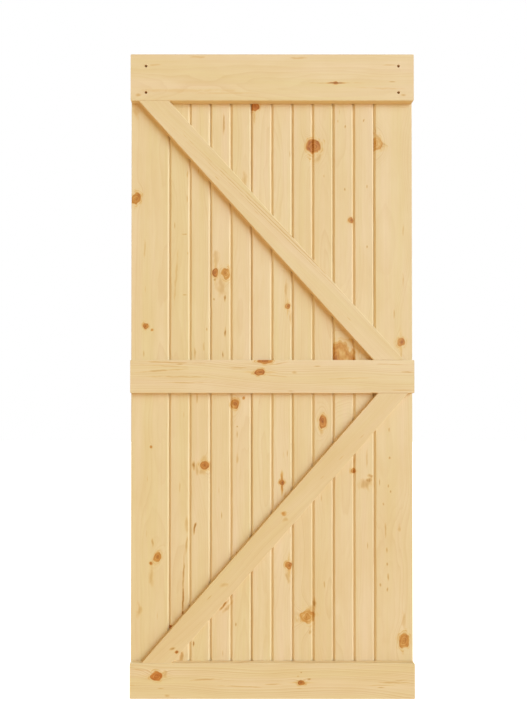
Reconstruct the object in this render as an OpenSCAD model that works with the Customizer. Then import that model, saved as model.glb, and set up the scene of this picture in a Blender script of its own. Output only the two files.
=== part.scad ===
// Sliding barn door: a slab of upright tongued boards, framed on its front by three rails
// and two diagonal braces, and screwed together from the back.
// The door stands on z = 0, centred on x = 0 and on the middle of its thickness.
// Its front faces -Y.

/* [Door] */
// Width of the door, which the rails span from edge to edge
door_w = 940; // [930:10:950]
// Height of the door
door_h = 2134; // [2050:2:2200]

/* [Upright boards] */
// Thickness of the upright boards
board_t = 16; // [15:1:20]
// Width that each middle board covers
plank_pitch = 137; // [134:1:138]
// Width of a V groove at the face of the boards
v_groove_w = 12; // [8:1:12]
// Gap left between two boards
joint_gap = 0.5; // [0.2:0.1:1]
// Gap at the one joint that has shrunk open
open_gap = 1.8; // [0.5:0.1:3]
// Length of a tongue
tongue_l = 6; // [5:0.5:8]
// Thickness of a tongue
tongue_t = 5; // [4:0.5:5.5]

/* [Rails] */
// Thickness of the rails and braces
frame_t = 19; // [19:1:25]
// Height of the top rail's face
top_rail_h = 155; // [140:5:180]
// Height of the middle rail's face
middle_rail_h = 110; // [90:5:130]
// Height of the bottom rail's face
bottom_rail_h = 118; // [100:1:140]
// Height of the middle rail's lower edge above the floor
middle_rail_z = 1008; // [950:2:1050]
// Radius that softens the front edges of rails and braces
edge_r = 2; // [1:0.5:3]
// Radius of the rails' corners, seen from the front
corner_r = 4; // [3.5:0.5:6]

/* [Braces] */
// Width of a brace
brace_w = 75; // [65:1:80]
// Distance from the door's left edge to the upper brace, under the top rail
upper_inset_l = 26; // [20:1:40]
// Distance from the door's right edge to the upper brace, on the middle rail
upper_inset_r = 34; // [20:1:40]
// Distance from the door's left edge to the lower brace, on the bottom rail
lower_inset_l = 38; // [20:1:40]
// Distance from the door's right edge to the lower brace, under the middle rail
lower_inset_r = 21; // [20:1:40]

/* [Hanger holes] */
// Diameter of the holes for the bolts of the hanger straps
hanger_hole_d = 9; // [8:0.5:11]
// Distance from the door's side edge to the middle of a hole
hanger_inset = 51; // [48:1:56]
// Distance from the door's top to the middle of the upper hole
hanger_drop = 40; // [35:1:40]
// Distance between the two holes of a hanger
hanger_pitch = 88; // [80:1:90]

/* [Screws] */
// Length of a wood screw
screw_l = 30; // [26:1:32]
// Diameter of a screw's shank in the upright boards
shank_d = 4.2; // [4:0.1:4.5]
// Diameter of a screw's core in the frame boards, without its thread
core_d = 3; // [2.6:0.1:3.2]
// Diameter of a countersunk head
head_d = 8; // [7.5:0.1:8.5]

/* [Hidden] */
$fn = 48;
PLANKS = 5;
BOARDS = PLANKS + 2;
OPEN_JOINT = 3;

pine = [0.905, 0.785, 0.580];
rail_pine = [0.898, 0.780, 0.562];
zinc = [0.70, 0.71, 0.72];

// Depths, from the front of the frame boards to the back of the upright boards
door_t = frame_t + board_t;
front_y = -door_t / 2;
boards_y = front_y + frame_t;
back_y = door_t / 2;

// Heights of the rails' edges
top_rail_z = door_h - top_rail_h;
middle_top_z = middle_rail_z + middle_rail_h;

// Details of a board's long edges
v_depth = v_groove_w / 2;
arris = 1;
tongue_y = v_depth + 2;
tongue_room = 0.2;
groove_d = tongue_l + 1;

// Details of the screws
head_cone_h = (head_d - shank_d) / 2;
head_rim_h = 0.5;
head_sink = 0.3;
recess_w = 1.1;
recess_span = 4.4;
recess_d = 1.6;
screw_room = 0.15;
pilot_room = 0.05;
pilot_extra = 1;
tip_h = 2.5;
brace_end_room = 18;

// Joint i lies left of board i. Joints 0 and BOARDS are the door's side edges.
function joint_x(i) =
    i == 0 ? -door_w / 2 :
    i == BOARDS ? door_w / 2 :
    (i - 1 - PLANKS / 2) * plank_pitch;
function half_gap(i) =
    (i == 0 || i == BOARDS) ? 0 :
    (i == OPEN_JOINT ? open_gap : joint_gap) / 2;
function board_x(i) = (joint_x(i) + joint_x(i + 1)) / 2;

// Width of a brace along its sawn end, for a brace that spans so far sideways and upwards
function end_width(span, rise) =
    let (w2 = brace_w * brace_w, r2 = rise * rise)
    (sqrt(w2 * w2 * span * span + (r2 - w2) * w2 * (r2 + span * span)) - w2 * span) / (r2 - w2);

// A brace is [x at its low end, z there, x at its high end, z there], along its middle
upper_span = door_w - upper_inset_l - upper_inset_r;
upper_rise = top_rail_z - middle_top_z;
upper_end = end_width(upper_span, upper_rise);
upper_line = [
    door_w / 2 - upper_inset_r - upper_end / 2, middle_top_z,
    -door_w / 2 + upper_inset_l + upper_end / 2, top_rail_z
];
lower_span = door_w - lower_inset_l - lower_inset_r;
lower_rise = middle_rail_z - bottom_rail_h;
lower_end = end_width(lower_span, lower_rise);
lower_line = [
    -door_w / 2 + lower_inset_l + lower_end / 2, bottom_rail_h,
    door_w / 2 - lower_inset_r - lower_end / 2, middle_rail_z
];

// Screws of a rail: two in each upright board, one higher than the other
function rail_screws(z, h) = [
    for (i = [0:BOARDS - 1], side = [-1, 1])
        [board_x(i) + side * plank_pitch / 4, z + h / 2 + side * h / 4]
];

// Screws of a brace: one in each upright board, on the brace's middle line
function brace_screw_x(i) =
    i == 0 ? joint_x(1) - brace_end_room :
    i == BOARDS - 1 ? joint_x(i) + brace_end_room :
    board_x(i) + plank_pitch / 4;
function height_on(line, x) =
    line[1] + (x - line[0]) * (line[3] - line[1]) / (line[2] - line[0]);
function brace_screws(line) = [
    for (i = [0:BOARDS - 1]) [brace_screw_x(i), height_on(line, brace_screw_x(i))]
];

top_screws = rail_screws(top_rail_z, top_rail_h);
middle_screws = rail_screws(middle_rail_z, middle_rail_h);
bottom_screws = rail_screws(0, bottom_rail_h);
upper_screws = brace_screws(upper_line);
lower_screws = brace_screws(lower_line);
all_screws = concat(top_screws, middle_screws, bottom_screws, upper_screws, lower_screws);

// Turns a section drawn in (y, z) so that its extrusion runs along +X
module along_x() {
    rotate([90, 0, 90]) children();
}

// Turns an outline drawn in (x, z) so that its extrusion fills the frame boards' thickness
module through_frame() {
    translate([0, front_y + frame_t, 0]) rotate([90, 0, 0]) linear_extrude(frame_t) children();
}

// A rectangle from the origin, with round corners on the side at x = 0
module eased_section(depth, length) {
    translate([edge_r, 0]) square([depth - edge_r, length]);
    translate([0, edge_r]) square([edge_r, length - 2 * edge_r]);
    for (y = [edge_r, length - edge_r]) translate([edge_r, y]) circle(edge_r);
}

// A rectangle from the origin, with four round corners
module round_rectangle(w, h, r) {
    translate([r, 0]) square([w - 2 * r, h]);
    translate([0, r]) square([w, h - 2 * r]);
    for (x = [r, w - r], y = [r, h - r]) translate([x, y]) circle(r);
}

// A line of holes through the whole door, for one hanger strap
module hanger_holes(side) {
    for (drop = [hanger_drop, hanger_drop + hanger_pitch])
        translate([side * (door_w / 2 - hanger_inset), 0, door_h - drop])
            rotate([90, 0, 0]) cylinder(h = 2 * door_t, d = hanger_hole_d, center = true);
}

// Puts its children at each [x, z] on the door's back, with their +Z running into the wood
module at_screws(places) {
    for (p = places)
        translate([p[0], back_y, p[1]]) rotate([90, 0, 0]) children();
}

// A pilot hole as deep as a screw, with nothing wider at its mouth
module pilot_hole() {
    cylinder(h = head_sink + screw_l + pilot_extra, d = core_d + 2 * pilot_room);
}

// The hole of one screw: a countersink and a clearance hole through the board, then the pilot
module screw_hole() {
    cone_z = head_sink + head_rim_h;
    mouth_d = head_d + 2 * screw_room;
    clear_d = shank_d + 2 * screw_room;
    translate([0, 0, -1]) cylinder(h = 1 + cone_z, d = mouth_d);
    translate([0, 0, cone_z]) cylinder(h = head_cone_h, d1 = mouth_d, d2 = clear_d);
    cylinder(h = board_t + 1, d = clear_d);
    pilot_hole();
}

// A countersunk wood screw with a cross recess, its head a little below the surface
module screw() {
    shank_end = board_t - head_sink;
    translate([0, 0, head_sink]) difference() {
        union() {
            cylinder(h = head_rim_h, d = head_d);
            translate([0, 0, head_rim_h]) cylinder(h = head_cone_h, d1 = head_d, d2 = shank_d);
            cylinder(h = shank_end, d = shank_d);
            cylinder(h = screw_l - tip_h, d = core_d);
            translate([0, 0, screw_l - tip_h]) cylinder(h = tip_h, d1 = core_d, d2 = 0);
        }
        for (turn = [0, 90])
            rotate([0, 0, turn])
                translate([-recess_span / 2, -recess_w / 2, -1])
                    cube([recess_span, recess_w, 1 + recess_d]);
    }
}

// A horizontal rail whose lower edge is at z, with blind pilot holes in its back
module rail(z, h, screws) {
    difference() {
        translate([-door_w / 2, 0, z]) intersection() {
            translate([0, front_y, 0])
                along_x() linear_extrude(door_w) eased_section(frame_t, h);
            through_frame() round_rectangle(door_w, h, corner_r);
        }
        at_screws(screws) pilot_hole();
    }
}

// A brace along a line, sawn off level with the edges of the two rails that it meets
module brace(line, screws) {
    run = line[2] - line[0];
    rise = line[3] - line[1];
    length = sqrt(run * run + rise * rise);
    tilt = atan2(rise, run);
    difference() {
        intersection() {
            translate([line[0], front_y, line[1]]) rotate([0, -tilt, 0])
                translate([-length / 2, 0, -brace_w / 2])
                    along_x() linear_extrude(2 * length) eased_section(frame_t, brace_w);
            translate([-door_w / 2, front_y, line[1]]) cube([door_w, frame_t, rise]);
        }
        at_screws(screws) pilot_hole();
    }
}

// Section of an upright board in (x, y), with its front at y = 0
module board_section(i) {
    x0 = joint_x(i) + half_gap(i);
    x1 = joint_x(i + 1) - half_gap(i + 1);
    outer_left = i == 0;
    outer_right = i == BOARDS - 1;
    left_v = outer_left ? arris : v_depth - half_gap(i);
    right_v = outer_right ? arris : v_depth - half_gap(i + 1);
    difference() {
        union() {
            polygon([
                [x0 + left_v, 0], [x1 - right_v, 0], [x1, right_v], [x1, board_t - arris],
                [x1 - arris, board_t], [x0 + arris, board_t], [x0, board_t - arris], [x0, left_v]
            ]);
            if (!outer_right)
                translate([x1 - 1, tongue_y]) square([tongue_l + 1, tongue_t]);
        }
        if (!outer_left)
            translate([x0 - 1, tongue_y - tongue_room])
                square([groove_d + 1, tongue_t + 2 * tongue_room]);
        if (!outer_left && !outer_right)
            polygon([
                [board_x(i) - v_depth, 0], [board_x(i) - v_depth, -1],
                [board_x(i) + v_depth, -1], [board_x(i) + v_depth, 0], [board_x(i), v_depth]
            ]);
    }
}

// The upright board between joints i and i + 1
module board(i) {
    color(pine) difference() {
        translate([0, boards_y, 0]) linear_extrude(door_h) board_section(i);
        at_screws([for (p = all_screws) if (p[0] > joint_x(i) && p[0] < joint_x(i + 1)) p])
            screw_hole();
        if (i == 0) hanger_holes(-1);
        if (i == BOARDS - 1) hanger_holes(1);
    }
}

module top_rail() {
    color(rail_pine) difference() {
        rail(top_rail_z, top_rail_h, top_screws);
        for (side = [-1, 1]) hanger_holes(side);
    }
}

module middle_rail() {
    color(rail_pine) rail(middle_rail_z, middle_rail_h, middle_screws);
}

module bottom_rail() {
    color(rail_pine) rail(0, bottom_rail_h, bottom_screws);
}

module upper_brace() {
    color(rail_pine) brace(upper_line, upper_screws);
}

module lower_brace() {
    color(rail_pine) brace(lower_line, lower_screws);
}

module screws(places) {
    color(zinc) at_screws(places) screw();
}

top_rail();
middle_rail();
bottom_rail();
upper_brace();
lower_brace();
board(0);  // edge_board_left
board(1);  // plank_1
board(2);  // plank_2
board(3);  // plank_3
board(4);  // plank_4
board(5);  // plank_5
board(6);  // edge_board_right
screws(top_screws);  // top_rail_screws
screws(middle_screws);  // middle_rail_screws
screws(bottom_screws);  // bottom_rail_screws
screws(upper_screws);  // upper_brace_screws
screws(lower_screws);  // lower_brace_screws
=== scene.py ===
# %% [markdown]
# # A sliding barn door of knotty pine
# The door is a slab of seven upright boards, tongued and grooved into each other, with V grooves on
# their faces. Three rails and two braces are screwed on in front of them. Everything is planed and
# sanded softwood with no oil or varnish, so the whole look of the door is the look of pine:
# growth rings, fibres, knots, and warm shade inside the grooves.
#
# The construction model already gives every part its true shape and place. This lesson loads it,
# softens the sharp edges as sandpaper does, and then spends its time on the wood.

# %% Load the construction model
import math

import bmesh
import bpy
from mathutils import Matrix, Vector, noise


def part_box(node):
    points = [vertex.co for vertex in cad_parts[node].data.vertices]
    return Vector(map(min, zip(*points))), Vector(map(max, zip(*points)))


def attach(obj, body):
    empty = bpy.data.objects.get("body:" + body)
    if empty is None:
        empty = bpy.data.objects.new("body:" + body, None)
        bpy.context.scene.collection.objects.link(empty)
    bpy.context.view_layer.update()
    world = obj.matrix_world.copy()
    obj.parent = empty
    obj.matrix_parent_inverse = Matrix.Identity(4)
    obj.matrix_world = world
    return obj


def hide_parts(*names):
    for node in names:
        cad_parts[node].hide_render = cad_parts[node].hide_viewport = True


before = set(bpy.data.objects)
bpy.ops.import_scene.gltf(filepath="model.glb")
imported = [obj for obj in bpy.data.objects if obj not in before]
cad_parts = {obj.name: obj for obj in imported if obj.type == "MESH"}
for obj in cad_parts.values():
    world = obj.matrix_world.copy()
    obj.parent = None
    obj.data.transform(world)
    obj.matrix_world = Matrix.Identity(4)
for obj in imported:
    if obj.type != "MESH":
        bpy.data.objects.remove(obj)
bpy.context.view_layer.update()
MM = 0.001
print("construction parts:", sorted(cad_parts))

# %% [markdown]
# ## Edges and grooves
# A planed board never has a knife edge: a pass with sandpaper takes it off. The width of that worn
# edge is about half a millimetre, and it catches a fine line of light, so it is worth having as
# real geometry. It could be a Bevel modifier, but that would also round every screw hole. Here a
# bmesh bevel takes only the outside edges.
#
# The moulding cutter that makes the V grooves also rides over hard knots and soft wood, so the
# shoulders of a groove wander a little. The boards are cut into short lengths with bisect_plane,
# and the shoulders are then moved by smooth noise, less and less towards the bottom of the V.

# %% A worn edge on the outside arrises
def worn_edges(form, width):
    """Rounds the sharp outside edges of a timber and leaves its holes alone."""
    form.normal_update()
    hollow = {
        corner
        for edge in form.edges
        if len(edge.link_faces) == 2 and not edge.is_convex and edge.calc_face_angle() > math.radians(4)
        for corner in edge.verts
    }
    sharp = [
        edge
        for edge in form.edges
        if len(edge.link_faces) == 2
        and edge.is_convex
        and edge.calc_face_angle() > math.radians(35)
        and not all(corner in hollow for corner in edge.verts)
    ]
    bmesh.ops.bevel(
        form, geom=sharp, offset=width, offset_type="OFFSET", segments=2, profile=0.5,
        affect="EDGES", material=-1, clamp_overlap=False,
    )
    return len(sharp)


# %% Short lengths and wandering grooves
BOARD_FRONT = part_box("plank_3")[0].y
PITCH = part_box("plank_4")[0].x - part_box("plank_3")[0].x
GROOVES = [(k - 5) * PITCH / 2 for k in range(11)]
GROOVE_DEPTH, GROOVE_REACH = 6 * MM, 8.5 * MM
WORN_EDGE, SHORT_LENGTH, WANDER = 0.5 * MM, 40 * MM, 1.0 * MM
print(f"boards every {PITCH / MM:.1f} mm, a groove every {PITCH / 2 / MM:.2f} mm")


def wandering_grooves(form, step, reach):
    """Cuts an upright board into short lengths and lets the shoulders of its grooves wander."""
    heights = [corner.co.z for corner in form.verts]
    low, high = min(heights), max(heights)
    for cut in range(1, int((high - low) / step)):
        bmesh.ops.bisect_plane(
            form, geom=form.verts[:] + form.edges[:] + form.faces[:],
            plane_co=(0, 0, low + cut * step), plane_no=(0, 0, 1),
        )
    for corner in form.verts:
        depth = max((corner.co.y - BOARD_FRONT) / GROOVE_DEPTH, 0)
        groove = min(GROOVES, key=lambda x: abs(x - corner.co.x))
        if depth < 0.99 and abs(corner.co.x - groove) < GROOVE_REACH:
            side = 1 if corner.co.x > groove else -1
            drift = noise.noise(Vector((groove * 40, side * 3.1, corner.co.z * 7)))
            ripple = noise.noise(Vector((groove * 40, side * 5.3, corner.co.z * 29)))
            corner.co.x += (1 - depth) * reach * (drift + 0.7 * ripple)


# %% Make each timber
BOARDS = ["edge_board_left", "plank_1", "plank_2", "plank_3", "plank_4", "plank_5", "edge_board_right"]
FRAME_PARTS = ["top_rail", "middle_rail", "bottom_rail", "upper_brace", "lower_brace"]


def timber(node):
    """A finished copy of a construction part, which takes the part's place."""
    form = bmesh.new()
    form.from_mesh(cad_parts[node].data)
    bmesh.ops.remove_doubles(form, verts=form.verts, dist=0.001 * MM)
    bmesh.ops.dissolve_limit(
        form, angle_limit=math.radians(0.5), verts=form.verts, edges=form.edges,
        use_dissolve_boundaries=False, delimit=set(),
    )
    rounded = worn_edges(form, WORN_EDGE)
    if node in BOARDS:
        wandering_grooves(form, SHORT_LENGTH, WANDER)
    low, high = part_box(node)
    for corner in form.verts:
        corner.co = [min(max(c, a), b) for c, a, b in zip(corner.co, low, high)]
    mesh = bpy.data.meshes.new(node + "_wood")
    form.to_mesh(mesh)
    form.free()
    for layer in ("custom_normal", "sharp_face", "sharp_edge"):
        if layer in mesh.attributes:
            mesh.attributes.remove(mesh.attributes[layer])
    mesh.shade_smooth()
    mesh.set_sharp_from_angle(angle=math.radians(50))
    while mesh.uv_layers:
        mesh.uv_layers.remove(mesh.uv_layers[0])
    piece = bpy.data.objects.new(node + "_wood", mesh)
    bpy.context.scene.collection.objects.link(piece)
    flats = piece.modifiers.new("even shading", "WEIGHTED_NORMAL")
    flats.keep_sharp = True
    flats.weight = 100
    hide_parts(node)
    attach(piece, "root")
    print(f"{node}: {rounded} edges rounded, {len(mesh.polygons)} faces")
    return piece


timbers = {node: timber(node) for node in BOARDS + FRAME_PARTS}

# %% [markdown]
# ## How pine is drawn
# Pine is drawn as the solid that it is, not as a picture wrapped round it. A tree is a stack of
# cones, one inside another, each ending in a hard dark line of latewood. A board is a slice of that
# stack, so the lines on its face depend on where the slice was taken. Far from the pith and edge-on
# they are straight, and flat to the rings they widen into arches. Working in the board's own
# directions (along, across, into) makes the faces, edges and ends agree with each other.
#
# Three small helpers come first: one for colours, one that adds a node with its settings and links,
# and one that opens a reusable group of nodes.

# %% Helpers for colours and nodes
def linear(code):
    """An sRGB hex colour as the linear red, green, blue and alpha that shaders use."""
    shades = [int(code[i:i + 2], 16) / 255 for i in (0, 2, 4)]
    return tuple(s / 12.92 if s <= 0.04045 else ((s + 0.055) / 1.055) ** 2.4 for s in shades) + (1,)


def add(tree, kind, inputs=None, **settings):
    """Adds a node with its settings, fills or links its inputs, and gives back its live output."""
    node = tree.nodes.new("ShaderNode" + kind)
    for key, value in settings.items():
        setattr(node, key, value)
    for key, value in (inputs or {}).items():
        live = [s for s in node.inputs if s.enabled and s.name == key] if isinstance(key, str) else None
        socket = live[0] if live else node.inputs[key]
        if isinstance(value, bpy.types.NodeSocket):
            tree.links.new(value, socket)
        else:
            socket.default_value = value
    return next((s for s in node.outputs if s.enabled), None)


def maths(tree, operation, *values, **settings):
    """A Math node: what it does, then the numbers or sockets that it works on."""
    return add(tree, "Math", dict(enumerate(values)), operation=operation, **settings)


def vectors(tree, operation, *values):
    """The same for a Vector Math node."""
    return add(tree, "VectorMath", dict(enumerate(values)), operation=operation)


def remap(tree, value, low, high, new_low=0.0, new_high=1.0, smooth=False):
    """Stretches low to high into new_low to new_high, held at both ends; smooth eases the ends."""
    reading = {"Value": value, "From Min": low, "From Max": high, "To Min": new_low, "To Max": new_high}
    return add(tree, "MapRange", reading, interpolation_type="SMOOTHSTEP" if smooth else "LINEAR")


def blend(tree, factor, first, second, how="MIX"):
    """Mixes two colours by a factor."""
    colours = {"Factor": factor, "A": first, "B": second}
    return add(tree, "Mix", colours, data_type="RGBA", blend_type=how)


def clouds(tree, place, detail, roughness):
    """Noise with features one unit wide, so the place given to it sets their true size."""
    settings = {"Vector": place, "Scale": 1.0, "Detail": detail, "Roughness": roughness}
    return add(tree, "TexNoise", settings)


def bare_tree(owner):
    """The node tree of a new material or world, emptied."""
    owner.use_nodes = True
    owner.node_tree.nodes.clear()
    return owner.node_tree


def open_group(name, inputs, outputs):
    """Starts a group: gives its tree, its inputs by name and the node that takes its outputs."""
    tree = bpy.data.node_groups.new(name, "ShaderNodeTree")
    for side, sockets in (("INPUT", inputs), ("OUTPUT", outputs)):
        for label, kind in sockets.items():
            tree.interface.new_socket(label, in_out=side, socket_type="NodeSocket" + kind)
    return tree, tree.nodes.new("NodeGroupInput").outputs, tree.nodes.new("NodeGroupOutput")


# %% [markdown]
# ## Growth rings
# The pith is a line running along the board, outside it for most boards. The distance to it, divided
# by the width of a year's growth, counts the rings. Three things keep the rings from looking like
# a machine drew them: the pith wanders, the tree tapers, and some years are wider than others.
# Within one ring, pale earlywood darkens slowly to latewood and then stops short.

# %% Group: growth rings
tree, given, result = open_group(
    "growth rings",
    {
        "Place": "Vector", "Pith": "Vector", "Ring": "Float", "Taper": "Float", "Bend": "Float",
        "Seed": "Vector",
    },
    {"Late": "Float"},
)
moved = vectors(tree, "ADD", given["Place"], given["Seed"])
slow = vectors(tree, "MULTIPLY", moved, (1.6, 3.0, 3.0))
wander = clouds(tree, slow, 1.0, 0.4).node.outputs["Color"]
centred = vectors(tree, "SUBTRACT", wander, (0.5, 0.5, 0.5))
pith = vectors(tree, "MULTIPLY_ADD", centred, (0.0, 0.1, 0.06), given["Pith"])
out = vectors(tree, "SUBTRACT", given["Place"], pith)
across = vectors(tree, "MULTIPLY", out, (0.0, 1.0, 1.0))
radius = vectors(tree, "LENGTH", across)
along = add(tree, "SeparateXYZ", {"Vector": given["Place"]})
radius = maths(tree, "MULTIPLY_ADD", along, given["Taper"], radius)
radius = maths(tree, "ADD", radius, given["Bend"])
quick = vectors(tree, "MULTIPLY", moved, (5.0, 26.0, 26.0))
ripple = clouds(tree, quick, 2.0, 0.5)
radius = maths(tree, "MULTIPLY_ADD", ripple, 0.008, radius)

# %% Growth rings: good years, bad years and the seasons
years = maths(tree, "DIVIDE", radius, given["Ring"])
weather = add(tree, "TexNoise", {"W": years, "Scale": 0.31, "Detail": 0.0}, noise_dimensions="1D")
years = maths(tree, "MULTIPLY_ADD", weather, 2.2, years)
season = maths(tree, "FRACT", years)
growth = maths(tree, "POWER", season, 2.4)
winter = remap(tree, season, 0.9, 1.0, 1.0, 0.0, smooth=True)
late = maths(tree, "MULTIPLY", growth, winter)
strength = remap(tree, weather, 0.36, 0.64, 0.3, 1.35)
late = maths(tree, "MULTIPLY", late, strength)
tree.links.new(late, result.inputs["Late"])
rings_group = tree

# %% [markdown]
# ## Knots
# A knot is a branch that the trunk grew round. Cut across, it shows its own small rings, darkest at
# its core and at the bark line round its rim. The wood beside it is stained with resin, mostly
# above and below along the grain, and the trunk's rings bend round it. Each knot is an ellipse in
# the board's own directions. The group adds its stain and its bend to what earlier knots gave, so
# any number of knots can be chained.

# %% Group: one knot
tree, given, result = open_group(
    "knot",
    {
        "Place": "Vector", "Wobble": "Vector", "Grain": "Float", "Centre": "Vector", "Turn": "Vector",
        "Size": "Vector", "Depth": "Float", "Red": "Float", "Streak": "Float",
        "Bend": "Float", "Stain": "Float", "Redness": "Float", "Near": "Float",
    },
    {"Bend": "Float", "Stain": "Float", "Redness": "Float", "Near": "Float"},
)
local = add(
    tree, "Mapping",
    {
        "Vector": given["Place"], "Location": given["Centre"], "Rotation": given["Turn"],
        "Scale": given["Size"],
    },
    vector_type="TEXTURE",
)
flat = vectors(tree, "MULTIPLY", local, (1.0, 1.0, 0.0))

# %% One knot: its heart, core, small rings and bark line
uneven = vectors(tree, "MULTIPLY_ADD", given["Wobble"], (0.8, 0.8, 0.0), flat)
away = vectors(tree, "LENGTH", uneven)
heart = remap(tree, away, 1.12, 0.9, smooth=True)
core = remap(tree, away, 0.6, 0.05, smooth=True)
turns = maths(tree, "MULTIPLY_ADD", away, 19.0, given["Grain"])
small_rings = maths(tree, "SINE", turns)
from_rim = maths(tree, "SUBTRACT", away, 0.98)
from_rim = maths(tree, "ABSOLUTE", from_rim)
rim = remap(tree, from_rim, 0.22, 0.0, 0.0, 0.3, smooth=True)
sides = add(tree, "SeparateXYZ", {"Vector": given["Wobble"]})
sides = remap(tree, sides, -0.15, 0.15, 0.1, 1.2)
rim = maths(tree, "MULTIPLY", rim, sides)
cloud = add(tree, "SeparateXYZ", {"Vector": given["Wobble"]}).node.outputs["Z"]
cloud = maths(tree, "MULTIPLY_ADD", cloud, 0.85, 0.64)
inner = maths(tree, "MULTIPLY_ADD", small_rings, 0.1, cloud)
inner = maths(tree, "MULTIPLY_ADD", core, 0.2, inner)
inner = maths(tree, "MULTIPLY_ADD", inner, heart, rim)

# %% One knot: the frayed stain round it and the streak along the grain
frayed = vectors(tree, "MULTIPLY_ADD", given["Wobble"], (2.6, 2.6, 0.0), flat)
frayed = vectors(tree, "LENGTH", frayed)
halo = remap(tree, frayed, 2.2, 0.8, 0.0, 0.44, smooth=True)
arcs = maths(tree, "MULTIPLY_ADD", small_rings, 0.3, 0.85)
halo = maths(tree, "MULTIPLY", halo, arcs)
reach = add(tree, "SeparateXYZ", {"Vector": uneven})
side = reach.node.outputs["Y"]
reach = maths(tree, "ABSOLUTE", reach)
reach = remap(tree, reach, 6.5, 0.6, smooth=True)
side = maths(tree, "ABSOLUTE", side)
side = remap(tree, side, 0.8, 0.0, smooth=True)
streak = maths(tree, "MULTIPLY", side, reach)
streak = maths(tree, "MULTIPLY", streak, given["Grain"])
streak = maths(tree, "MULTIPLY", streak, given["Streak"])

# %% One knot: what it hands on to the next one
stain = maths(tree, "MAXIMUM", inner, halo)
stain = maths(tree, "MAXIMUM", stain, streak)
stain = maths(tree, "MULTIPLY", stain, given["Depth"])
stain = maths(tree, "MAXIMUM", stain, given["Stain"])
tree.links.new(stain, result.inputs["Stain"])
redness = maths(tree, "MULTIPLY", heart, given["Red"])
redness = maths(tree, "MAXIMUM", redness, given["Redness"])
tree.links.new(redness, result.inputs["Redness"])

# %% One knot: how far it pushes the trunk's rings aside
drawn_out = vectors(tree, "MULTIPLY", flat, (0.6, 1.0, 0.0))
around = vectors(tree, "LENGTH", drawn_out)
near = remap(tree, around, 3.2, 0.2, smooth=True)
near = maths(tree, "POWER", near, 2.0)
width = add(tree, "SeparateXYZ", {"Vector": given["Size"]}).node.outputs["Y"]
bend = maths(tree, "MULTIPLY", near, width)
bend = maths(tree, "ADD", bend, given["Bend"])
tree.links.new(bend, result.inputs["Bend"])
near = maths(tree, "MAXIMUM", near, given["Near"])
tree.links.new(near, result.inputs["Near"])
knot_group = tree

# %% [markdown]
# ## Flecks and streaks
# Between the knots there are resin pockets, bark flecks and short checks, all drawn out along the
# grain. A fleck is a soft ellipse with no rings and no rim, broken up by the grain.

# %% Group: one fleck
tree, given, result = open_group(
    "fleck",
    {
        "Place": "Vector", "Wobble": "Vector", "Grain": "Float", "Centre": "Vector", "Turn": "Vector",
        "Size": "Vector", "Depth": "Float", "Flecks": "Float",
    },
    {"Flecks": "Float"},
)
local = add(
    tree, "Mapping",
    {
        "Vector": given["Place"], "Location": given["Centre"], "Rotation": given["Turn"],
        "Scale": given["Size"],
    },
    vector_type="TEXTURE",
)
flat = vectors(tree, "MULTIPLY", local, (1.0, 1.0, 0.0))
uneven = vectors(tree, "MULTIPLY_ADD", given["Wobble"], (1.6, 1.6, 0.0), flat)
away = vectors(tree, "LENGTH", uneven)
spot = remap(tree, away, 1.1, 0.2, smooth=True)
spot = maths(tree, "MULTIPLY", spot, given["Depth"])
broken = remap(tree, given["Grain"], 0.25, 0.75, 0.6, 1.0)
spot = maths(tree, "MULTIPLY", spot, broken)
spot = maths(tree, "MAXIMUM", spot, given["Flecks"])
tree.links.new(spot, result.inputs["Flecks"])
fleck_group = tree

# %% [markdown]
# ## The planed surface
# This group turns ring, grain and stain into a colour, a roughness and a height. Fibres run along
# the board in bundles a few millimetres wide, and real single fibres are thirty times finer than
# can be seen from across a room, so the coarse bundles carry the look and a fine layer is there for
# close views. Planing leaves hard latewood a little proud and smoother than the soft earlywood.
# End grain soaks up light: it is darker, redder and rougher than the face. The flanks of the
# grooves and the long edges are painted paler, a painted highlight that brightens the lit flank of each
# groove and also lightens the shaded flank.

# %% Group: planed pine
tree, given, result = open_group(
    "planed pine",
    {
        "Place": "Vector", "Seed": "Vector", "Grain": "Float", "Late": "Float", "Contrast": "Float",
        "Pink": "Float", "End": "Float", "Stain": "Float", "Redness": "Float", "Near": "Float",
        "Flecks": "Float", "Warmth": "Float", "Painted highlight": "Float",
    },
    {"Color": "Color", "Roughness": "Float", "Height": "Float"},
)
moved = vectors(tree, "ADD", given["Place"], given["Seed"])
fibre_place = vectors(tree, "MULTIPLY", moved, (14.0, 900.0, 900.0))
fibre = clouds(tree, fibre_place, 2.0, 0.6)
drift_place = vectors(tree, "MULTIPLY", moved, (1.1, 20.0, 20.0))
drift = clouds(tree, drift_place, 3.0, 0.6)
patch_place = vectors(tree, "MULTIPLY", moved, (5.0, 13.0, 13.0))
patch = clouds(tree, patch_place, 3.0, 0.6)

# %% Planed pine: cream, pink and honey earlywood, and a painted highlight on the flanks
pinkness = remap(tree, drift, 0.3, 0.7, -0.45, 0.45)
pinkness = maths(tree, "ADD", pinkness, given["Pink"], use_clamp=True)
early = blend(tree, pinkness, linear("ebd39f"), linear("f4d8b6"))
shade = remap(tree, patch, 0.3, 0.7, 0.0, 0.38)
shade = maths(tree, "ADD", shade, given["Warmth"], use_clamp=True)
early = blend(tree, shade, early, linear("e2bf84"))
# Painted highlight: faces that look sideways, the groove flanks and long edges, are mixed towards a
# paler cream. This brightens the lit flank of each groove and also lightens the shaded one.
painted_highlight = maths(tree, "MULTIPLY", given["Painted highlight"], 0.28)
early = blend(tree, painted_highlight, early, linear("fae4b8"))

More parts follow.
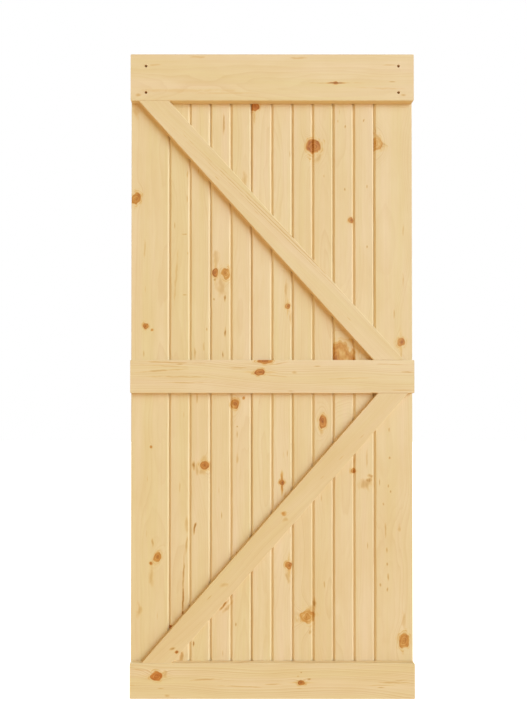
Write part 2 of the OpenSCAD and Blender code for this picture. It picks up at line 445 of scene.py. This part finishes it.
# %% Planed pine: latewood lines and fibres
line = remap(tree, given["Grain"], 0.25, 0.75, 0.6, 1.3)
line = maths(tree, "MULTIPLY", given["Late"], line)
crowded = maths(tree, "MULTIPLY_ADD", given["Near"], 0.35, given["Contrast"])
line = maths(tree, "MULTIPLY", line, crowded, use_clamp=True)
wood = blend(tree, line, early, linear("cf9c5c"))
bundle = remap(tree, given["Grain"], 0.25, 0.75, 0.22, 0.0)
wood = blend(tree, bundle, wood, linear("dab581"))
single = remap(tree, fibre, 0.3, 0.7, 0.1, 0.0)
wood = blend(tree, single, wood, linear("d2a971"))

# %% Planed pine: specks and resin
speck_place = vectors(tree, "MULTIPLY", moved, (11.0, 75.0, 75.0))
specks = add(tree, "TexVoronoi", {"Vector": speck_place, "Scale": 1.0, "Randomness": 1.0})
chance = add(tree, "SeparateXYZ", {"Vector": specks.node.outputs["Color"]})
chance = remap(tree, chance, 0.84, 0.94)
specks = remap(tree, specks, 0.17, 0.05, 0.0, 0.45)
specks = maths(tree, "MULTIPLY", specks, chance)
marks = maths(tree, "MAXIMUM", specks, given["Flecks"], use_clamp=True)
resin = blend(tree, marks, linear("dfaa4c"), linear("98541c"))
soak = remap(tree, marks, 0.0, 0.6)
wood = blend(tree, soak, wood, resin)

# %% Planed pine: knot stain and end grain
stained = add(tree, "ValToRGB", {"Fac": given["Stain"]})
stops = stained.node.color_ramp.elements
for position in (0.30, 0.52, 0.74):
    stops.new(position)
for stop, code in zip(stops, ("eccd90", "deb066", "cd8e3e", "b46d27", "783b0c")):
    stop.color = linear(code)
red = blend(tree, given["Redness"], stained, linear("f4cba8"), "MULTIPLY")
cover = remap(tree, given["Stain"], 0.02, 0.42, smooth=True)
wood = blend(tree, cover, wood, red)
soaked = blend(tree, 1.0, wood, linear("cfa477"), "MULTIPLY")
wood = blend(tree, given["End"], wood, soaked)
tree.links.new(wood, result.inputs["Color"])

# %% Planed pine: roughness and height
rough = remap(tree, fibre, 0.0, 1.0, 0.52, 0.66)
rough = maths(tree, "MULTIPLY_ADD", line, -0.12, rough)
rough = maths(tree, "MULTIPLY_ADD", given["End"], 0.22, rough)
tree.links.new(rough, result.inputs["Roughness"])
proud = maths(tree, "MULTIPLY_ADD", given["Late"], 0.45, fibre)
proud = maths(tree, "MULTIPLY_ADD", given["Stain"], -0.8, proud)
tree.links.new(proud, result.inputs["Height"])
surface_group = tree

# %% [markdown]
# ## Where each timber was cut
# Every board gets its own slice of the tree. The pith is given in millimetres from the board's
# middle, across and into the wood. A pith far behind the face gives wide arches and a pith far to
# the side gives straight lines. The knots are a list in door coordinates: millimetres to the right
# of the middle and up from the bottom, then the size along and across the grain.

# %% The slices
# name: (pith across, pith into, ring width, taper, line contrast, pinkness, warmth), lengths in mm
SLICES = {
    "edge_board_left": (35, 150, 4.4, 0.004, 0.16, 0.15, 0.04),
    "plank_1": (-60, 110, 3.8, 0.003, 0.20, 0.25, 0.08),
    "plank_2": (40, 90, 3.6, 0.004, 0.20, 0.40, 0.05),
    "plank_3": (-10, 120, 4.0, 0.004, 0.18, 0.45, 0.00),
    "plank_4": (55, 100, 3.4, 0.003, 0.22, 0.35, 0.18),
    "plank_5": (-45, 120, 3.8, 0.003, 0.18, 0.45, 0.08),
    "edge_board_right": (-20, 160, 4.2, 0.004, 0.16, 0.30, 0.12),
    "top_rail": (30, 140, 4.2, 0.006, 0.20, 0.40, 0.05),
    "middle_rail": (-90, 45, 5.6, 0.006, 0.42, 0.35, 0.00),
    "bottom_rail": (92, 50, 5.8, 0.006, 0.52, 0.25, 0.00),
    "upper_brace": (120, 20, 3.2, 0.003, 0.30, 0.40, 0.05),
    "lower_brace": (-110, 25, 3.2, 0.003, 0.26, 0.25, 0.30),
}
# name: (x, z, along, across, turn in degrees, depth, redness, streak), lengths in mm
KNOTS = {
    "top_rail": [(211, 2038, 15, 9, 0, 0.95, 0.2, 1.6)],
    "middle_rail": [(-41, 1077, 31, 21, 0, 1.0, 0.3, 0.5), (-25, 1114, 46, 17, 0, 0.85, 0.3, 0.3)],
    "bottom_rail": [(-382, 76, 36, 30, 0, 0.85, 0.8, 0.4), (95, 54, 20, 17, 0, 1.0, 0.2, 0.7)],
    "edge_board_left": [
        (-455, 1660, 42, 27, 30, 0.84, 0.0, 0.2), (-421, 1234, 18, 17, 0, 0.95, 0.1, 0.3),
        (-381, 461, 33, 22, 20, 0.75, 0.1, 0.3), (-401, 1220, 8, 8, 0, 0.75, 0.1, 0.2),
        (-403, 830, 9, 8, 0, 0.8, 0.1, 0.3), (-403, 441, 10, 9, 0, 1.0, 0.2, 0.3),
    ],
    "plank_1": [(-225, 768, 26, 27, 0, 0.88, 0.25, 0.3), (-338, 229, 12, 12, 0, 1.0, 0.4, 0.2)],
    "plank_2": [
        (-189, 1414, 28, 21, 0, 0.95, 0.2, 0.5), (-154, 1409, 36, 27, -20, 0.80, 0.0, 0.3),
        (-123, 972, 29, 27, 0, 0.90, 0.1, 0.4), (-94, 993, 10, 9, 0, 0.7, 0.2, 0.2),
    ],
    "plank_3": [
        (-56, 1970, 30, 28, 0, 0.9, 0.6, 0.5), (53, 1299, 18, 17, 0, 0.9, 0.0, 0.7),
        (34, 709, 19, 17, 0, 0.95, 0.2, 1.4), (57, 434, 24, 23, 0, 0.95, 0.2, 0.6),
    ],
    "plank_4": [
        (140, 1836, 46, 45, 0, 0.92, 0.3, 0.4), (170, 914, 41, 24, 0, 0.85, 0.3, 0.2),
        (118, 263, 46, 52, 0, 0.62, 0.1, 0.2),
    ],
    "plank_5": [
        (266, 1588, 20, 19, 0, 0.9, 0.1, 0.3), (212, 1116, 116, 122, 0, 0.74, 0.0, 0.2),
        (273, 750, 17, 16, 0, 0.9, 0.2, 0.3),
    ],
    "edge_board_right": [
        (348, 1845, 44, 46, 0, 0.62, 0.0, 0.1), (433, 1179, 27, 27, 0, 0.84, 0.1, 0.6),
        (441, 183, 47, 32, 5, 0.80, 0.1, 0.2),
    ],
    "lower_brace": [(37, 609, 13, 12, 0, 0.8, 0.1, 0.2), (-315, 155, 11, 8, 0, 1.0, 0.2, 0.1)],
}
# name: (x, z, along, across, turn in degrees, depth), lengths in mm
FLECKS = {
    "top_rail": [
        (-443, 1998, 26, 14, 0, 0.45), (437, 1998, 30, 14, 0, 0.45), (-246, 2124, 70, 8, 0, 0.30),
        (89, 2121, 90, 9, 0, 0.35), (-389, 2098, 60, 8, 0, 0.30), (387, 2098, 50, 7, 0, 0.30),
        (-300, 2012, 420, 14, 0, 0.16), (-150, 2004, 300, 8, 0, 0.18), (370, 2020, 180, 8, 2, 0.20),
        (206, 2038, 240, 4, 0, 0.35),
    ],
    "middle_rail": [
        (72, 1077, 24, 12, 0, 0.35), (-326, 1109, 270, 6, 2.0, 0.40), (-350, 1098, 200, 5, 3.0, 0.30),
        (-372, 1082, 170, 7, -4.0, 0.42), (-306, 1062, 240, 6, 0.5, 0.36), (-283, 1043, 170, 5, 0, 0.36),
        (-110, 1092, 80, 5, 2.0, 0.40), (397, 1103, 130, 5, 2.0, 0.34), (448, 1078, 40, 6, 2.0, 0.40),
        (435, 1018, 80, 6, 0, 0.36), (254, 1057, 160, 7, -2.0, 0.22), (20, 1106, 90, 5, -8.0, 0.35),
        (10, 1066, 110, 5, 6.0, 0.30),
    ],
    "bottom_rail": [
        (122, 66, 18, 7, 0, 0.7), (96, 88, 8, 6, 0, 0.6), (84, 76, 8, 6, 0, 0.5),
        (-352, 82, 22, 34, 0, 0.4),
        (-226, 64, 120, 6, -3, 0.45), (-105, 42, 170, 5, 2, 0.45), (-436, 96, 60, 5, 6, 0.4),
        (-346, 12, 24, 14, 0, 0.35), (395, 55, 140, 7, 1, 0.40), (360, 46, 90, 5, 0, 0.35),
        (0, 49, 60, 7, 0, 0.4), (420, 62, 70, 4, 0, 0.4),
    ],
    "upper_brace": [
        (24, 1554, 1080, 4, 0, 0.50), (17, 1549, 1000, 3, 0, 0.45), (30, 1561, 960, 3, 0, 0.40),
    ],
    "edge_board_left": [
        (-442, 283, 60, 26, 0, 0.40), (-402, 405, 100, 20, 0, 0.35), (-455, 1955, 60, 30, 0, 0.35),
        (-425, 1490, 70, 9, 0, 0.30), (-428, 1142, 34, 5, 0, 0.45), (-398, 508, 36, 9, 0, 0.5),
    ],
    "plank_1": [
        (-283, 1745, 34, 5, 0, 0.40), (-283, 1658, 30, 5, 0, 0.40), (-291, 1541, 7, 18, 0, 0.45),
        (-281, 1477, 16, 5, 0, 0.45), (-291, 1338, 7, 18, 0, 0.45), (-320, 1400, 200, 9, 4, 0.30),
        (-217, 1222, 14, 6, 0, 0.50), (-257, 1142, 44, 9, 0, 0.45), (-227, 1165, 40, 8, 0, 0.30),
        (-250, 998, 50, 9, 0, 0.45), (-261, 768, 34, 15, 0, 0.80), (-234, 747, 30, 34, 0, 0.42),
        (-224, 790, 30, 22, 0, 0.36), (-250, 755, 60, 12, 0, 0.40), (-307, 690, 40, 6, 0, 0.35),
        (-257, 562, 52, 9, 10, 0.80), (-284, 575, 70, 14, 0, 0.35), (-284, 508, 80, 8, 4, 0.50),
        (-294, 415, 190, 8, 2, 0.62), (-296, 325, 120, 9, 2, 0.80), (-261, 176, 26, 8, 0, 0.7),
        (-301, 133, 60, 18, 0, 0.60), (-296, 277, 24, 10, 0, 1.0),
    ],
    "plank_2": [
        (-160, 1916, 84, 9, 0, 0.50), (-156, 1211, 44, 8, 4, 0.80), (-120, 237, 18, 6, 0, 0.7),
        (-187, 1456, 80, 26, 0, 0.40), (-170, 1368, 84, 40, 0, 0.42), (-190, 1388, 16, 9, 30, 0.8),
        (-157, 1326, 28, 9, 0, 0.65), (-163, 1141, 34, 6, 0, 0.7), (-194, 1324, 12, 7, 0, 0.6),
        (-116, 897, 8, 7, 0, 0.7), (-116, 790, 40, 10, 0, 0.35), (-90, 1725, 60, 24, 0, 0.35),
        (-159, 302, 50, 11, 42, 0.85), (-150, 292, 60, 16, 42, 0.45), (-116, 474, 16, 12, 0, 0.85),
    ],
    "plank_3": [
        (45, 655, 60, 9, 0, 0.4), (54, 398, 64, 20, 0, 0.45), (-58, 1932, 70, 10, 0, 0.45),
        (48, 1350, 110, 12, 2, 0.42), (63, 1262, 60, 9, 0, 0.45),
    ],
    "plank_4": [
        (143, 308, 50, 14, 0, 0.7), (132, 290, 34, 26, 0, 0.4), (128, 214, 22, 12, 0, 0.45),
        (175, 371, 24, 6, 0, 0.55), (156, 1795, 40, 26, 30, 0.40), (175, 1739, 14, 5, 0, 0.4),
        (166, 884, 34, 14, 0, 0.40),
    ],
    "plank_5": [
        (222, 1920, 14, 6, 0, 0.4), (246, 1903, 14, 7, 0, 0.6), (244, 1692, 14, 7, 0, 0.55),
        (309, 1923, 14, 7, 20, 0.6), (319, 1702, 14, 6, 0, 0.5), (319, 1500, 12, 6, 0, 0.6),
        (324, 716, 24, 44, -15, 0.62), (312, 704, 44, 66, -10, 0.46), (330, 732, 16, 26, 20, 0.60),
        (318, 790, 70, 10, 0, 0.30), (276, 780, 60, 8, 0, 0.40),
    ],
    "edge_board_right": [
        (410, 1272, 34, 6, 0, 0.45), (440, 1551, 50, 7, 0, 0.30), (440, 1387, 50, 7, 0, 0.30),
        (393, 887, 16, 7, 0, 0.55), (393, 793, 14, 8, 0, 0.65), (390, 699, 16, 7, 0, 0.55),
        (397, 681, 12, 7, 0, 0.60), (373, 639, 12, 7, 0, 0.55), (380, 555, 54, 7, 0, 0.50),
        (425, 560, 30, 14, 0, 0.35), (384, 485, 20, 7, 0, 0.50), (385, 438, 14, 8, 0, 0.65),
        (388, 394, 34, 7, 0, 0.55), (363, 371, 16, 7, 0, 0.55), (385, 354, 18, 7, 0, 0.55),
        (440, 250, 80, 18, 0, 0.28), (433, 1138, 60, 7, 0, 0.45), (358, 1864, 76, 12, -38, 0.60),
        (364, 1850, 66, 10, -62, 0.55),
        (360, 1838, 60, 10, -80, 0.50), (366, 1842, 60, 40, 0, 0.26),
    ],
    "lower_brace": [
        (-161, 375, 34, 20, 40, 0.35), (-330, 165, 30, 10, 30, 0.6), (42, 590, 24, 14, 0, 0.35),
    ],
}
print(sum(map(len, KNOTS.values())), "knots and", sum(map(len, FLECKS.values())), "flecks")


# %% Directions of each timber
def board_axes(node):
    """The timber's middle and its directions: along the grain, across it, and into the wood."""
    low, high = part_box(node)
    middle = (low + high) / 2
    if node in BOARDS:
        grain = Vector((0, 0, 1))
    elif node == "upper_brace":
        grain = Vector((high.x - low.x, 0, low.z - high.z))
    elif node == "lower_brace":
        grain = Vector((high.x - low.x, 0, high.z - low.z))
    else:
        grain = Vector((1, 0, 0))
    grain.normalize()
    into = Vector((0, 1, 0))
    return middle, Matrix((grain, into.cross(grain), into)).transposed()


# %% The knots and flecks of each timber
def ellipse(node, x, z, long, wide, turn):
    """Where a mark lies on its timber, its turn, and half its size along and across the grain."""
    middle, axes = board_axes(node)
    return {
        "Centre": axes.transposed() @ (Vector((x * MM, middle.y, z * MM)) - middle),
        "Turn": (0, 0, math.radians(turn)),
        "Size": (long * MM / 2, wide * MM / 2, 1),
    }


def knots_of(tree, node, shared):
    """Chains a timber's knots and gives their bend, stain, redness and nearness."""
    so_far = (0.0, 0.0, 0.0, 0.0)
    for *shape, depth, red, streak in KNOTS.get(node, []):
        given = {**shared, **ellipse(node, *shape), "Depth": depth, "Red": red, "Streak": streak}
        given.update(zip(("Bend", "Stain", "Redness", "Near"), so_far))
        so_far = add(tree, "Group", given, node_tree=knot_group).node.outputs
    return so_far


def flecks_of(tree, node, shared):
    """Chains a timber's flecks and gives how dark they are."""
    flecks = 0.0
    for *shape, depth in FLECKS.get(node, []):
        given = {**shared, **ellipse(node, *shape), "Depth": depth, "Flecks": flecks}
        flecks = add(tree, "Group", given, node_tree=fleck_group)
    return flecks


# %% A material for each timber
def pine(node, seed):
    """Planed and sanded pine, cut and knotted as this timber is."""
    material = bpy.data.materials.new(f"planed pine, {node.replace('_', ' ')}")
    tree = bare_tree(material)
    middle, axes = board_axes(node)
    across, into, ring, taper, contrast, pink, warmth = SLICES[node]
    seed_place = (seed * 3.7, seed * 1.9, seed * 5.3)
    coordinates = add(tree, "TexCoord").node.outputs
    place = add(
        tree, "Mapping",
        {"Vector": coordinates["Object"], "Location": middle, "Rotation": axes.to_euler()},
        vector_type="TEXTURE",
    )
    shifted = vectors(tree, "ADD", place, seed_place)
    bundles = vectors(tree, "MULTIPLY", shifted, (3.2, 190.0, 190.0))
    grain = clouds(tree, bundles, 3.0, 0.6)
    curl = vectors(tree, "MULTIPLY", shifted, (38.0, 62.0, 40.0))
    wobble = clouds(tree, curl, 1.5, 0.45)
    wobble = vectors(tree, "SUBTRACT", wobble.node.outputs["Color"], (0.5, 0.5, 0.5))
    shared = {"Place": place, "Wobble": wobble, "Grain": grain}
    bend, stain, redness, near = knots_of(tree, node, shared)
    flecks = flecks_of(tree, node, shared)
    late = add(
        tree, "Group",
        {
            "Place": place, "Pith": (0, across * MM, into * MM), "Ring": ring * MM, "Taper": taper,
            "Bend": bend, "Seed": seed_place,
        },
        node_tree=rings_group,
    )
    facing = vectors(tree, "DOT_PRODUCT", coordinates["Normal"], axes.col[0])
    facing = maths(tree, "ABSOLUTE", facing)
    end = remap(tree, facing, 0.35, 0.85)
    # How much a face looks sideways, across the grain, as the groove flanks and long edges do. It is the
    # mask of the painted highlight that makes these faces paler.
    sideways = vectors(tree, "DOT_PRODUCT", coordinates["Normal"], axes.col[1])
    sideways = maths(tree, "ABSOLUTE", sideways)
    cut = remap(tree, sideways, 0.35, 0.65)
    planed = add(
        tree, "Group",
        {
            "Place": place, "Seed": seed_place, "Grain": grain, "Late": late, "Contrast": contrast,
            "Pink": pink, "End": end, "Stain": stain, "Redness": redness, "Near": near,
            "Flecks": flecks, "Warmth": warmth, "Painted highlight": cut,
        },
        node_tree=surface_group,
    )
    wood = planed.node.outputs
    relief = add(tree, "Bump", {"Height": wood["Height"], "Distance": 0.12 * MM, "Strength": 1.0})
    shader = add(
        tree, "BsdfPrincipled",
        {"Base Color": wood["Color"], "Roughness": wood["Roughness"], "Normal": relief, "IOR": 1.5},
    )
    add(tree, "OutputMaterial", {"Surface": shader})
    return material


for seed, (node, piece) in enumerate(timbers.items()):
    piece.data.materials.clear()
    piece.data.materials.append(pine(node, seed + 1))
print("pine materials:", len(timbers))

# %% [markdown]
# ## The screws
# The frame boards are held by countersunk wood screws driven from behind, with a cross recess.
# They are zinc plated, which is a bluish grey metal with cloudy patches: the crystals of the zinc
# differ a little in colour and gloss, and the driver leaves fine scratches.

# %% Zinc-plated steel
zinc = bpy.data.materials.new("zinc-plated steel")
tree = bare_tree(zinc)
object_place = add(tree, "TexCoord").node.outputs["Object"]
cloud = add(tree, "TexNoise", {"Vector": object_place, "Scale": 450.0, "Detail": 3.0, "Roughness": 0.6})
scratch = add(
    tree, "TexNoise", {"Vector": object_place, "Scale": 2600.0, "Detail": 2.0, "Roughness": 0.7}
)
tone = remap(tree, cloud, 0.3, 0.7)
plating = blend(tree, tone, linear("b9bdc2"), linear("d6d5cc"))
gloss = remap(tree, cloud, 0.3, 0.7, 0.28, 0.42)
nicks = add(tree, "Bump", {"Height": scratch, "Distance": 0.02 * MM, "Strength": 0.6})
steel = add(
    tree, "BsdfPrincipled",
    {"Base Color": plating, "Metallic": 1.0, "Roughness": gloss, "Normal": nicks},
)
add(tree, "OutputMaterial", {"Surface": steel})
for node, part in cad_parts.items():
    if node.endswith("_screws"):
        part.data.materials.clear()
        part.data.materials.append(zinc)

# %% [markdown]
# ## Floor, light and camera
# The door stands on a white floor that runs on into a white room, like a studio sweep. One large
# soft lamp to the right lights the left side of every groove and leaves the right side in shade.
# The room itself gives a weak, warm fill, as a room full of bounced light does, and a warm card on
# the left keeps the shaded sides of grooves and braces honey coloured rather than grey. A second
# soft lamp stands behind the door and lights only its back.
#
# The camera stands close, a little to the left of the middle and a little below half height. Its
# wide lens is held nearly level and shifted to frame the door, so the uprights stay upright.

# %% Floor and room
floor_mesh = bpy.data.meshes.new("floor")
form = bmesh.new()
bmesh.ops.create_grid(form, x_segments=1, y_segments=1, size=14.0)
form.to_mesh(floor_mesh)
form.free()
floor = bpy.data.objects.new("floor", floor_mesh)
bpy.context.scene.collection.objects.link(floor)
sweep = bpy.data.materials.new("white studio floor")
tree = bare_tree(sweep)
seen = add(tree, "LightPath")
matt = add(tree, "BsdfDiffuse", {"Color": linear("f4f2ee")})
lift = add(tree, "Emission", {"Color": (1, 1, 1, 1), "Strength": 0.85})
lifted = add(tree, "AddShader", {0: matt, 1: lift})
bounce = add(tree, "Emission", {"Color": linear("ffe2b5"), "Strength": 0.78})
both = add(tree, "MixShader", {0: seen, 1: bounce, 2: lifted})
add(tree, "OutputMaterial", {"Surface": both})
floor_mesh.materials.append(sweep)

room = bpy.data.worlds.new("white room")
bpy.context.scene.world = room
tree = bare_tree(room)
seen = add(tree, "LightPath")
fill = add(tree, "Background", {"Color": linear("ffe7aa"), "Strength": 0.385})
white = add(tree, "Background", {"Color": (1, 1, 1, 1), "Strength": 1.0})
mixed = add(tree, "MixShader", {0: seen, 1: fill, 2: white})
add(tree, "OutputWorld", {"Surface": mixed})

# %% Lamps
def distant_lamp(name, azimuth, elevation, angle, level, colour):
    """An even light. Level 1 lights a white card that faces it to exactly white."""
    data = bpy.data.lights.new(name, "SUN")
    data.energy, data.angle, data.color = level * math.pi, math.radians(angle), linear(colour)[:3]
    turn, rise = math.radians(azimuth), math.radians(elevation)
    level_reach = math.cos(rise)
    towards = Vector((level_reach * math.sin(turn), -level_reach * math.cos(turn), math.sin(rise)))
    holder = bpy.data.objects.new(name, data)
    holder.rotation_euler = towards.to_track_quat("Z", "Y").to_euler()
    bpy.context.scene.collection.objects.link(holder)


distant_lamp("soft key lamp", 46, 19, 54, 1.11, "c8e4fc")
distant_lamp("warm card", -65, 10, 60, 0.12, "ffb866")
distant_lamp("soft lamp behind", -145, 25, 50, 0.72, "d4ecff")

# %% Camera
lens_data = bpy.data.cameras.new("camera")
camera = bpy.data.objects.new("camera", lens_data)
bpy.context.scene.collection.objects.link(camera)
bpy.context.scene.camera = camera
lens_data.sensor_width = 36.0
lens_data.lens = 25.58
lens_data.shift_x, lens_data.shift_y = 0.0547, 0.0625
lens_data.clip_start, lens_data.clip_end = 0.05, 60.0
camera.location = (-0.160, -1.7175, 0.950)
pitch, roll = 0.0067, 0.0004
turned = Matrix.Rotation(math.pi / 2 + pitch, 3, "X") @ Matrix.Rotation(roll, 3, "Z")
camera.rotation_euler = turned.to_euler()
bpy.context.scene.view_settings.view_transform = "Standard"
